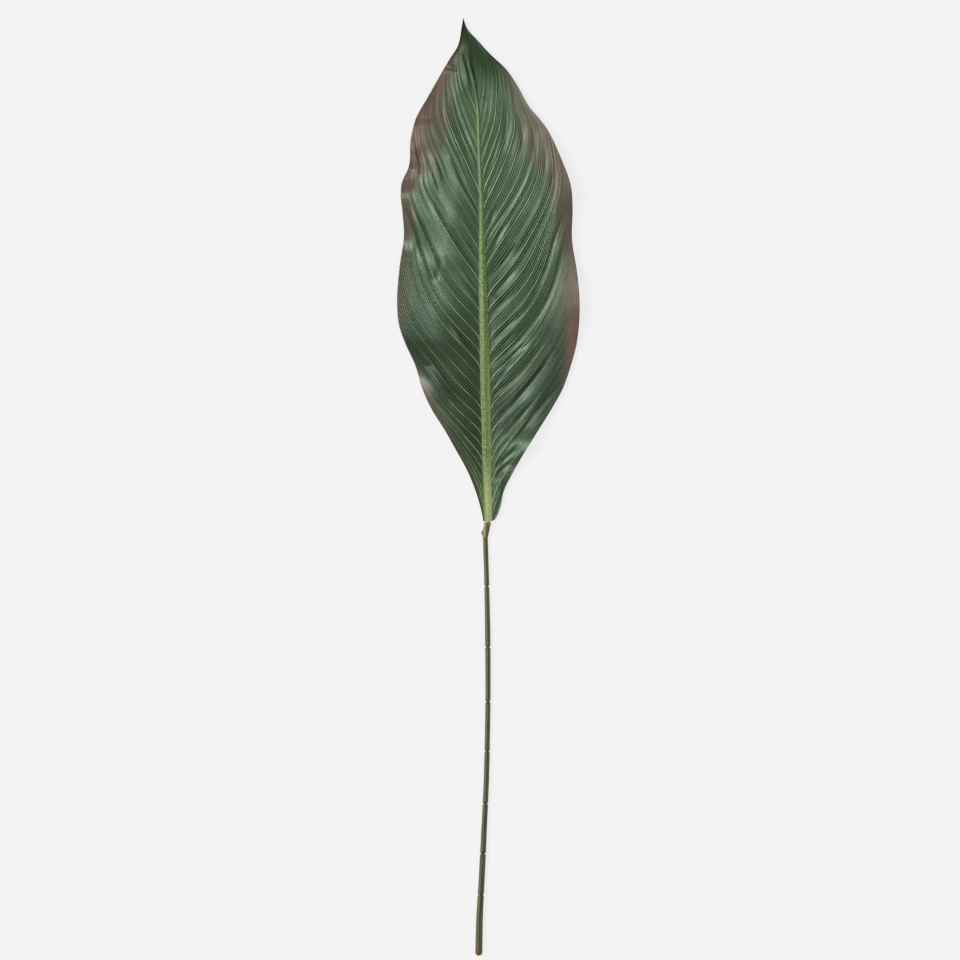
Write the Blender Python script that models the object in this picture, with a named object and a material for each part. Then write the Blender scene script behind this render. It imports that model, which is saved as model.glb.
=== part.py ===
"""A large canna leaf on its cut stem, lying face up.

X runs across the leaf, +Y towards its tip and +Z up from the surface it lies on. The origin is on
that surface, halfway between the tip and the cut end. Lengths in the values below are in millimetres.
"""

import bmesh
import bpy
import numpy as np

MM = 0.001

# Driving dimensions of the blade
BLADE_FOOT = -34.6
BLADE_LENGTH = 509.6
BLADE_THICKNESS = 0.7
VEINS = 36
PLEAT_RISE = 0.5
LEFT, RIGHT = -1, 1

# The blade's outline, as (place along the leaf, place across it)
MARGIN = {
    LEFT: [
        (-34.6, -5.2), (-30.0, -5.9), (-21.4, -7.8), (-1.1, -14.1), (17.1, -21.7), (37.4, -32.9),
        (58.7, -45.0), (78.0, -57.2), (96.3, -65.8), (126.7, -75.5), (144.0, -83.6), (161.2, -89.9),
        (188.0, -92.6), (222.1, -90.2), (258.0, -85.6), (279.0, -87.2), (296.2, -88.9), (307.3, -87.9),
        (323.6, -81.1), (355.0, -78.2), (372.3, -73.5), (392.6, -62.3), (433.1, -39.5), (445.3, -31.6),
        (465.6, -27.0), (475.0, -25.5),
    ],
    RIGHT: [
        (-34.6, 3.9), (-32.1, 7.2), (-26.5, 10.2), (-16.3, 13.3), (-4.2, 15.8), (20.2, 28.0),
        (57.7, 50.8), (78.0, 63.5), (100.3, 75.7), (123.7, 83.8), (144.0, 89.2), (164.3, 91.7),
        (190.0, 92.0), (220.1, 89.2), (250.0, 84.7), (286.0, 85.1), (301.2, 83.8), (333.7, 72.6),
        (364.7, 57.4), (386.5, 40.2), (406.8, 29.0), (424.0, 16.8), (438.2, 1.6), (452.9, -11.6),
        (462.6, -20.4), (475.0, -25.5),
    ],
}

# The midrib, as (place along the leaf, value): where it runs, its half width, and its height over the surface
MIDRIB_LINE = [
    (-34.6, -0.55), (37.4, -1.6), (108.5, -3.0), (169.3, -4.2), (240.4, -6.0), (291.1, -6.8),
    (341.8, -8.9), (385.5, -10.6), (417.9, -15.6), (453.4, -22.4), (475.0, -25.5),
]
MIDRIB_HALF_WIDTH = [
    (-34.6, 4.45), (40.0, 4.7), (120.0, 4.8), (200.0, 3.7), (260.0, 2.3), (310.0, 1.6), (385.0, 1.0),
    (475.0, 0.0),
]
MIDRIB_HEIGHT = [
    (-34.6, 3.6), (60.0, 5.0), (150.0, 6.0), (250.0, 7.0), (340.0, 8.0), (420.0, 7.0), (475.0, 4.0),
]
MIDRIB_RISE = 0.42
MIDRIB_DROP = 0.36

# How high each half of the blade arches between midrib and margin, and how high its waved margin lies
ARCH_RISE = [
    (-34.6, 0.0), (30.0, 4.0), (80.0, 7.0), (150.0, 9.0), (250.0, 10.0), (350.0, 7.0), (420.0, 3.0),
    (475.0, 0.0),
]
MARGIN_HEIGHT = {
    LEFT: [
        (-34.6, 3.6), (20.0, 6.0), (60.0, 9.0), (113.0, 7.0), (144.0, 0.7), (200.0, 5.0), (236.0, 2.5),
        (252.0, 6.5), (276.0, 3.0), (298.0, 7.0), (312.0, 3.0), (327.0, 7.5), (348.0, 0.7), (374.0, 8.0),
        (397.0, 3.5), (423.0, 8.0), (450.0, 6.0), (475.0, 4.0),
    ],
    RIGHT: [
        (-34.6, 3.6), (-16.0, 6.5), (20.0, 9.0), (60.0, 6.0), (110.0, 3.0), (178.0, 0.7), (230.0, 4.0),
        (262.0, 6.5), (300.0, 3.0), (338.0, 0.7), (372.0, 4.0), (388.0, 5.5), (405.0, 3.0), (440.0, 5.0),
        (475.0, 4.0),
    ],
}

# The collar between blade and stem, as (place along the leaf, value)
SEAT_GAP = 0.3
COLLAR_END = -50.8
COLLAR_LINE = [(-34.9, -0.9), (-42.0, -1.7), (-50.8, -3.0)]
COLLAR_RADIUS = [(-34.9, 3.2), (-37.0, 3.45), (-41.0, 3.1), (-46.0, 2.9), (-50.8, 2.55)]
COLLAR_HEIGHT = [(-34.9, 3.6), (-50.8, 2.75)]
COLLAR_SIDES = 20
COLLAR_RINGS = 13
# Each lug as (place along the leaf, angle round the collar in degrees, half length, half angle, rise)
COLLAR_LUGS = [(-38.6, 0.0, 1.4, 35.0, 0.6), (-46.2, 180.0, 3.0, 45.0, 1.9)]

# The stem, as (place along the leaf, value), its ring notches and its rounded end
STEM_LINE = [
    (-474.9, -9.8), (-434.4, -8.8), (-398.9, -6.9), (-348.1, -4.4), (-297.4, -2.1), (-246.7, -0.9),
    (-200.0, -0.4), (-162.4, -0.6), (-101.6, -1.6), (-51.0, -3.1),
]
STEM_RADIUS = [
    (-475.0, 3.6), (-440.0, 3.45), (-413.3, 3.2), (-371.8, 2.95), (-300.0, 2.75), (-200.0, 2.66),
    (-140.0, 2.72), (-125.0, 2.6), (-51.0, 2.54),
]
STEM_NOTCHES = [-100.9, -162.4, -217.6, -268.2, -321.2, -371.8, -413.3]
# Half of a ring notch, as (distance from its middle, share of the stem's radius)
NOTCH_PROFILE = [(0.8, 0.74), (1.3, 0.92), (2.3, 1.0)]
STEM_END = -475.0
STEM_END_ROUND = 3.4
STEM_SIDES = 12
STEM_RING_SPACING = 17.0


def smooth(points, at):
    """The value, at each place in at, of a smooth curve through the points (place, value)."""
    place, value = np.array(sorted(points), float).T
    gap = np.diff(place)
    slope = np.diff(value) / gap
    inner = (gap[1:] * slope[:-1] + gap[:-1] * slope[1:]) / (gap[1:] + gap[:-1])
    slope = np.concatenate([slope[:1], inner, slope[-1:]])
    at = np.clip(at, place[0], place[-1])
    left = np.clip(np.searchsorted(place, at, side="right") - 1, 0, len(gap) - 1)
    f = (at - place[left]) / gap[left]
    rise = value[left] * (1 + 2 * f) * (1 - f) ** 2 + value[left + 1] * f * f * (3 - 2 * f)
    bend = slope[left] * f * (1 - f) ** 2 - slope[left + 1] * f * f * (1 - f)
    return rise + bend * gap[left]


def share(y):
    """How far along the blade y lies, from 0 at the foot to 1 at the tip."""
    return (y - BLADE_FOOT) / BLADE_LENGTH


def margin_x(side, y):
    """Where the margin is at y. It runs over the root of the distance from the foot, for a round lobe."""
    points = [(max(share(a), 0) ** 0.5, x) for a, x in MARGIN[side]]
    return smooth(points, np.clip(share(y), 0, 1) ** 0.5)


def midrib_edge(side, y):
    """Where the midrib's edge is at y. It never passes the margin."""
    middle = smooth(MIDRIB_LINE, y)
    room = (margin_x(side, y) - middle) * side
    return middle + side * np.minimum(smooth(MIDRIB_HALF_WIDTH, y), room)


def vein_grid(side, number, across):
    """Plan positions on these veins, from the midrib's edge (across = 0) to the margin (across = 1).

    A vein leaves the midrib at the angle that veins have at that place, and meets the margin further up.
    In between it rises by a line and a steeper power of the share of the way across, so that it bends
    towards the tip.
    """
    start = (number / VEINS) ** 1.25
    reach = 1 - (1 - start) * (0.74 * (1 - start) + 0.26 * np.exp(-start / 0.03))
    y0 = BLADE_FOOT + BLADE_LENGTH * start
    rise = BLADE_LENGTH * (reach - start)
    width = (margin_x(side, y0) - midrib_edge(side, y0)) * side
    angle = np.radians(43 - 22 * start**1.5 - 20 * np.exp(-start / 0.05))
    straight = np.clip(width / np.tan(angle) / np.maximum(rise, 0.01), 0.1, 1.2)
    y = y0 + rise * (straight * across + (1 - straight) * across**3.5)
    edge = midrib_edge(side, y)
    return edge + across * (margin_x(side, y) - edge), y


def blade_height(side, across, y):
    """Height of the upper face: a valley along the midrib, an arch in each half and a waved margin."""
    rib = smooth(MIDRIB_HEIGHT, y)
    arch = 4 * smooth(ARCH_RISE, y) * across * (1 - across)
    wave = (smooth(MARGIN_HEIGHT[side], y) - rib) * across**3
    return rib + arch + wave


def half_blade(side):
    """Grids of the upper and the lower face of one half, from the midrib's middle line to the margin."""
    first = np.arange(6) / 6
    number = np.concatenate([first, np.arange(2, 2 * VEINS + 1) / 2])[:, None]
    across = 1 - np.linspace(1, 0, 11)[None, :] ** 1.5
    x, y = vein_grid(side, number, across)
    ends = np.minimum(1, number / 4) * np.minimum(1, (VEINS - number) / 4)
    pleat = PLEAT_RISE * np.cos(2 * np.pi * number) * np.sin(np.pi * across) ** 0.5 * ends
    top = blade_height(side, across, y) + pleat
    top = np.maximum(top, BLADE_THICKNESS)
    bottom = top - BLADE_THICKNESS
    y0, edge_z = y[:, :1], top[:, :1]
    middle_x, middle_z = smooth(MIDRIB_LINE, y0), smooth(MIDRIB_HEIGHT, y0)
    half_width = (x[:, :1] - middle_x) * side
    for offset in (0.85, 0.55, 0.0):
        level = middle_z + (edge_z - middle_z) * offset
        round_off = half_width * (1 - offset**2)
        x = np.hstack([middle_x + side * offset * half_width, x])
        y = np.hstack([y0, y])
        top = np.hstack([level + MIDRIB_RISE * round_off, top])
        bottom = np.hstack([level - BLADE_THICKNESS - MIDRIB_DROP * round_off, bottom])
    return np.stack([x, y, top], -1), np.stack([x, y, bottom], -1)


def finish(name, verts, faces, material):
    """Makes the named object from points in millimetres, merged where they meet, with faces out."""
    mesh = bpy.data.meshes.new(name)
    mesh.from_pydata((np.asarray(verts) * MM).tolist(), [], faces)
    bm = bmesh.new()
    bm.from_mesh(mesh)
    bmesh.ops.remove_doubles(bm, verts=bm.verts, dist=0.005 * MM)
    bmesh.ops.dissolve_degenerate(bm, edges=bm.edges, dist=0.001 * MM)
    bmesh.ops.triangulate(bm, faces=[face for face in bm.faces if len(face.verts) > 3])
    bmesh.ops.recalc_face_normals(bm, faces=bm.faces)
    bm.to_mesh(mesh)
    bm.free()
    mesh.shade_smooth()
    mesh.set_sharp_from_angle(angle=np.radians(50))
    mesh.materials.append(material)
    obj = bpy.data.objects.new(name, mesh)
    bpy.context.collection.objects.link(obj)
    return obj


def make_material(name, colour, roughness):
    material = bpy.data.materials.new(name)
    material.use_nodes = True
    shader = material.node_tree.nodes["Principled BSDF"]
    shader.inputs["Base Color"].default_value = (*colour, 1)
    shader.inputs["Roughness"].default_value = roughness
    shader.inputs["Metallic"].default_value = 0
    return material


def make_blade(material):
    """Both halves as one sheet: two faces split into the same triangles, and a rim round them."""
    verts, faces = [], []
    for side in (LEFT, RIGHT):
        top, bottom = half_blade(side)
        rows, columns = top.shape[:2]
        base = len(verts)
        under = base + rows * columns
        verts += top.reshape(-1, 3).tolist() + bottom.reshape(-1, 3).tolist()
        index = np.arange(rows * columns).reshape(rows, columns)
        for i in range(rows - 1):
            for j in range(columns - 1):
                a, b, c, d = index[i, j], index[i, j + 1], index[i + 1, j + 1], index[i + 1, j]
                for face in ((a, b, d), (b, c, d)):
                    faces.append([base + int(k) for k in face])
                    faces.append([under + int(k) for k in face[::-1]])
        rim = list(index[0, :]) + list(index[1:, -1])
        for p, q in zip(rim, rim[1:]):
            faces.append([base + int(p), base + int(q), under + int(q)])
            faces.append([base + int(p), under + int(q), under + int(p)])
    return finish("leaf_blade", verts, faces, material)


def make_rod(name, rings, material):
    """A closed body through rings of points of equal count, with a flat cap at each end."""
    rings = np.asarray(rings)
    count, sides = rings.shape[:2]
    faces = [list(range(sides)), list(range((count - 1) * sides, count * sides))]
    for i in range(count - 1):
        for j in range(sides):
            k = (j + 1) % sides
            faces.append([i * sides + j, i * sides + k, (i + 1) * sides + k, (i + 1) * sides + j])
    return finish(name, rings.reshape(-1, 3), faces, material)


def ring_angles(sides):
    """Angles round a ring whose lowest side lies flat."""
    return (np.arange(sides) + 0.5) * 2 * np.pi / sides - np.pi / 2


def make_collar(material):
    """Rings of a tapering plug whose radius swells at its two lugs."""
    angle = ring_angles(COLLAR_SIDES)
    y = np.linspace(BLADE_FOOT - SEAT_GAP, COLLAR_END, COLLAR_RINGS)[:, None]
    radius = np.repeat(smooth(COLLAR_RADIUS, y), COLLAR_SIDES, axis=1)
    for place, middle, half_length, half_angle, rise in COLLAR_LUGS:
        turn = (np.degrees(angle) - middle + 180) % 360 - 180
        radius = radius + rise * np.exp(-(((y - place) / half_length) ** 2) - (turn / half_angle) ** 2)
    x = smooth(COLLAR_LINE, y) + radius * np.cos(angle)
    z = smooth(COLLAR_HEIGHT, y) + radius * np.sin(angle)
    return make_rod("stem_collar", np.stack([x, y + 0 * x, z], -1), material)


def stem_rings():
    """Where the rings are and what share of the radius each has: notches, plain lengths, round end."""
    top = COLLAR_END - SEAT_GAP
    rings = [(top, 0.9), (top - 0.8, 1.0)]
    previous = top - 0.8
    for notch in STEM_NOTCHES + [STEM_END + STEM_END_ROUND]:
        last = notch == STEM_END + STEM_END_ROUND
        until = notch + (0 if last else NOTCH_PROFILE[-1][0])
        plain = max(2, round((previous - until) / STEM_RING_SPACING))
        rings += [(previous + (until - previous) * k / plain, 1.0) for k in range(1, plain)]
        if not last:
            rings += [(notch + away, part) for away, part in NOTCH_PROFILE[::-1]]
            rings += [(notch - away, part) for away, part in NOTCH_PROFILE]
        previous = notch - NOTCH_PROFILE[-1][0]
    turned = np.radians([0, 30, 55, 78])
    rings += [(STEM_END + STEM_END_ROUND * (1 - np.sin(a)), np.cos(a)) for a in turned]
    return rings


def make_stem(material):
    """A rod that lies along the surface on its flat lowest side, with ring notches and a round end."""
    angle = ring_angles(STEM_SIDES)
    y, part = np.array(stem_rings()).T[:, :, None]
    full = smooth(STEM_RADIUS, y)
    x = smooth(STEM_LINE, y) + full * part * np.cos(angle)
    z = full * np.cos(np.pi / STEM_SIDES) + full * part * np.sin(angle)
    return make_rod("stem", np.stack([x, y + 0 * x, z], -1), material)


for old in list(bpy.data.objects):
    bpy.data.objects.remove(old)

make_blade(make_material("leaf_green", (0.045, 0.090, 0.052), 0.45))
make_collar(make_material("collar_brown", (0.130, 0.105, 0.050), 0.55))
make_stem(make_material("stem_olive", (0.110, 0.098, 0.052), 0.5))
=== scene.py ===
"""The looks of a large canna leaf on its cut stem, lying face up and seen from straight above.

Places and lengths in the values below are in millimetres in the frame of the model: X across the leaf, +Y
towards its tip and +Z up from the surface. Each half of the blade is worked out on a grid of two parameters:
the number of a vein, counted from the foot, and the share of the way across from the midrib to the margin.
"""

import bmesh
import bpy
import numpy as np
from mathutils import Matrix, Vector


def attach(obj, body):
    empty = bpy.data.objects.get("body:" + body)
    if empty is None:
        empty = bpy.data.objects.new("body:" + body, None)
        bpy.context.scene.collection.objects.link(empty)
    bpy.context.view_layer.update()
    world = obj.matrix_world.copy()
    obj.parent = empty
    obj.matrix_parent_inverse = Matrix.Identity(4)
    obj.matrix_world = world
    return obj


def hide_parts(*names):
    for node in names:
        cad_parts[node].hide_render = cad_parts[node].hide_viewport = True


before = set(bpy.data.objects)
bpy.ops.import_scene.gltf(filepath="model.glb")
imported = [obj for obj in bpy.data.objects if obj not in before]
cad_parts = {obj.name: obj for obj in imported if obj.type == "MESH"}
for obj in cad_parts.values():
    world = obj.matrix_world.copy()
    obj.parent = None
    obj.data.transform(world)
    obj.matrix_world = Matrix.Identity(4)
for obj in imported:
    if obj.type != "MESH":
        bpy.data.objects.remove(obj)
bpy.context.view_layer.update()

MM = 0.001
LEFT, RIGHT = -1, 1

# The blade's outline and the course, width and bulge of its midrib are as in the model. Its heights are the
# scene's own.
BLADE_FOOT = -34.6
BLADE_LENGTH = 509.6
BLADE_THICKNESS = 0.7
VEINS = 36
VEIN_CROWDING = 1.15
MARGIN = {
    LEFT: [
        (-34.6, -5.2), (-30.0, -5.9), (-21.4, -7.8), (-1.1, -14.1), (17.1, -21.7), (37.4, -32.9),
        (58.7, -45.0), (78.0, -57.2), (96.3, -65.8), (126.7, -75.5), (144.0, -83.6), (161.2, -89.9),
        (188.0, -92.6), (222.1, -90.2), (258.0, -85.6), (279.0, -87.2), (296.2, -88.9), (307.3, -87.9),
        (323.6, -81.1), (355.0, -78.2), (372.3, -73.5), (392.6, -62.3), (433.1, -39.5), (445.3, -31.6),
        (465.6, -27.0), (475.0, -25.5),
    ],
    RIGHT: [
        (-34.6, 3.9), (-32.1, 7.2), (-26.5, 10.2), (-16.3, 13.3), (-4.2, 15.8), (20.2, 28.0),
        (57.7, 50.8), (78.0, 63.5), (100.3, 75.7), (123.7, 83.8), (144.0, 89.2), (164.3, 91.7),
        (190.0, 92.0), (220.1, 89.2), (250.0, 84.7), (286.0, 85.1), (301.2, 83.8), (333.7, 72.6),
        (364.7, 57.4), (386.5, 40.2), (406.8, 29.0), (424.0, 16.8), (438.2, 1.6), (452.9, -11.6),
        (462.6, -20.4), (475.0, -25.5),
    ],
}
MIDRIB_LINE = [
    (-34.6, -0.55), (37.4, -1.6), (108.5, -3.0), (169.3, -4.2), (240.4, -6.0), (291.1, -6.8),
    (341.8, -8.9), (385.5, -10.6), (417.9, -15.6), (453.4, -22.4), (475.0, -25.5),
]
MIDRIB_HALF_WIDTH = [
    (-34.6, 4.45), (40.0, 4.7), (120.0, 4.8), (200.0, 3.7), (260.0, 2.3), (310.0, 1.6), (385.0, 1.0),
    (475.0, 0.0),
]
MIDRIB_HEIGHT = [
    (-34.6, 3.6), (60.0, 7.0), (150.0, 10.0), (250.0, 10.7), (340.0, 10.2), (420.0, 7.5), (475.0, 5.0),
]

# How far the midrib bulges above and below the sheet, as a share of its half width
MIDRIB_RISE = 0.42
MIDRIB_DROP = 0.36

# Heights of each half, as (place along the leaf, height): of the arch half way across, and of the margin,
# whose last strip rolls up by the margin's roll
ARCH_HEIGHT = {
    LEFT: [
        (-34.6, 0.0), (30.0, 1.0), (80.0, 1.3), (150.0, 1.0), (250.0, 0.4), (350.0, 0.3), (475.0, 0.0),
    ],
    RIGHT: [
        (-34.6, 0.0), (30.0, 1.5), (80.0, 3.0), (125.0, 4.6), (140.0, 5.0), (172.0, 2.8), (220.0, 1.4),
        (260.0, 0.5), (300.0, 0.3), (350.0, 0.3), (390.0, -0.4), (475.0, 0.0),
    ],
}
MARGIN_HEIGHT = {
    LEFT: [
        (-34.6, 3.6), (20.0, 8.0), (55.0, 10.0), (85.0, 6.5), (112.0, 7.0), (132.0, 9.0), (148.0, 12.0),
        (162.0, 10.0), (190.0, 4.5), (236.0, 3.0), (265.0, 5.2), (300.0, 4.0), (350.0, 5.0), (375.0, 8.0),
        (397.0, 7.3), (423.0, 3.4), (445.0, 5.0), (460.0, 7.5), (475.0, 5.0),
    ],
    RIGHT: [
        (-34.6, 3.6), (-16.0, 3.2), (0.0, 2.8), (20.0, 5.0), (42.0, 12.0), (62.0, 8.0), (90.0, 5.0),
        (112.0, 3.2), (155.0, 5.6), (182.0, 13.2), (205.0, 12.7), (228.0, 11.0), (255.0, 12.0),
        (282.0, 13.0), (302.0, 13.5), (338.0, 12.2), (372.0, 9.6), (388.0, 7.6), (405.0, 6.4), (440.0, 6.6),
        (460.0, 4.5), (475.0, 5.0),
    ],
}
MARGIN_ROLL = 1.5

# The veins' course: how far up a vein that starts at a share of the blade's length meets the margin, and
# how much of its rise is straight
REACH = {
    LEFT: [
        (0.0, 0.0), (0.015, 0.09), (0.04, 0.16), (0.09, 0.23), (0.17, 0.345), (0.22, 0.45), (0.275, 0.57),
        (0.35, 0.69), (0.43, 0.775), (0.54, 0.85), (0.66, 0.92), (0.74, 0.957), (0.85, 0.985), (1.0, 1.0),
    ],
    RIGHT: [
        (0.0, 0.0), (0.015, 0.10), (0.04, 0.19), (0.09, 0.31), (0.17, 0.46), (0.24, 0.55), (0.30, 0.63),
        (0.43, 0.77), (0.52, 0.86), (0.65, 0.92), (0.715, 0.94), (0.85, 0.98), (1.0, 1.0),
    ],
}
STRAIGHT = [
    (0.0, 0.5), (0.17, 0.42), (0.30, 0.48), (0.43, 0.52), (0.52, 0.72), (0.60, 0.95), (0.65, 1.15),
    (0.72, 1.6), (0.80, 1.75), (1.0, 1.8),
]

# The hook at a vein's start: how deep it is, and within how many millimetres of the midrib it fades
HOOK = 3.2
HOOK_REACH = 2.2

# The lines, radii, lugs and notches of the collar and the stem are as in the model, but the gap at each seat
# is narrower, so that no floor shows through it. Lines and radii are points (place along the leaf, value), and
# a lug is (place, its angle round the collar, half its length, half its angle, its height).
COLLAR_END = -50.8
SEAT_GAP = 0.04
COLLAR_LINE = [(-34.9, -0.9), (-42.0, -1.7), (-50.8, -3.0)]
COLLAR_RADIUS = [(-34.9, 3.2), (-37.0, 3.45), (-41.0, 3.1), (-46.0, 2.9), (-50.8, 2.55)]
COLLAR_HEIGHT = [(-34.9, 3.6), (-50.8, 2.75)]
COLLAR_LUGS = [(-38.6, 0.0, 1.4, 35.0, 0.6), (-46.2, 180.0, 3.0, 45.0, 1.9)]
STEM_LINE = [
    (-474.9, -9.8), (-434.4, -8.8), (-398.9, -6.9), (-348.1, -4.4), (-297.4, -2.1), (-246.7, -0.9),
    (-200.0, -0.4), (-162.4, -0.6), (-101.6, -1.6), (-51.0, -3.1),
]
STEM_RADIUS = [
    (-475.0, 3.6), (-440.0, 3.45), (-413.3, 3.2), (-371.8, 2.95), (-300.0, 2.75), (-200.0, 2.66),
    (-140.0, 2.72), (-125.0, 2.6), (-51.0, 2.54),
]
STEM_NOTCHES = [-100.9, -162.4, -217.6, -268.2, -321.2, -371.8, -413.3]
STEM_END = -475.0
STEM_END_ROUND = 3.4
RING_DEPTH = 0.75
NOTCH_DEPTH = 0.28
LIP_HEIGHT = 0.10

# Height of the ridge along each vein, as points (vein number, height)
PLEAT_HEIGHT = {
    LEFT: [(0.0, 0.15), (12.0, 0.15), (18.0, 0.4), (36.0, 0.4)],
    RIGHT: [(0.0, 0.3), (12.0, 0.3), (20.0, 0.4), (26.0, 0.3), (36.0, 0.15)],
}

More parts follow.
